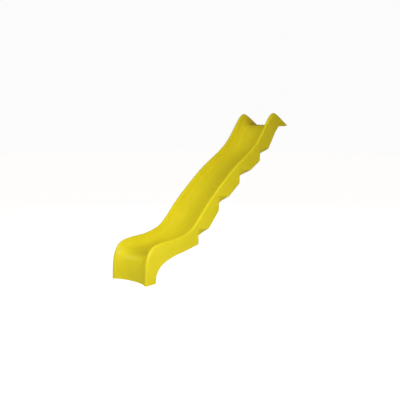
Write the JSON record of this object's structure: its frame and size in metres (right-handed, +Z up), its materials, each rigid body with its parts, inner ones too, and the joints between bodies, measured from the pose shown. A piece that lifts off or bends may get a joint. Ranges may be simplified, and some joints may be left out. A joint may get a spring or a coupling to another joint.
{
  "type": "wave slide",
  "caption": "Moulded plastic wave slide: a narrow twin-wall chute with rolled rims, stepped side walls, a curled exit nose and a flat lip that screws down on a deck.",
  "frame": {"origin": "ground plane under the middle of the object's box: z = 0 is the ground, x = 0 the middle of the chute", "axes": "+Z up, +Y uphill from the exit towards the deck, +X to the right when looking uphill"},
  "size_m": [0.468, 2.515, 1.6523],
  "materials": {
    "slide_plastic": "semi-gloss moulded polyethylene, coloured through",
    "screw_steel": "bright zinc plate",
    "sleeve_plastic": "plain moulded nylon"
  },
  "bodies": {
    "root": {"upper_shell": "slide_plastic", "lower_shell": "slide_plastic", "lip_sleeves": "sleeve_plastic", "lip_washers": "screw_steel", "lip_screws": "screw_steel", "screw_caps": "slide_plastic"}
  },
  "joints": []
}
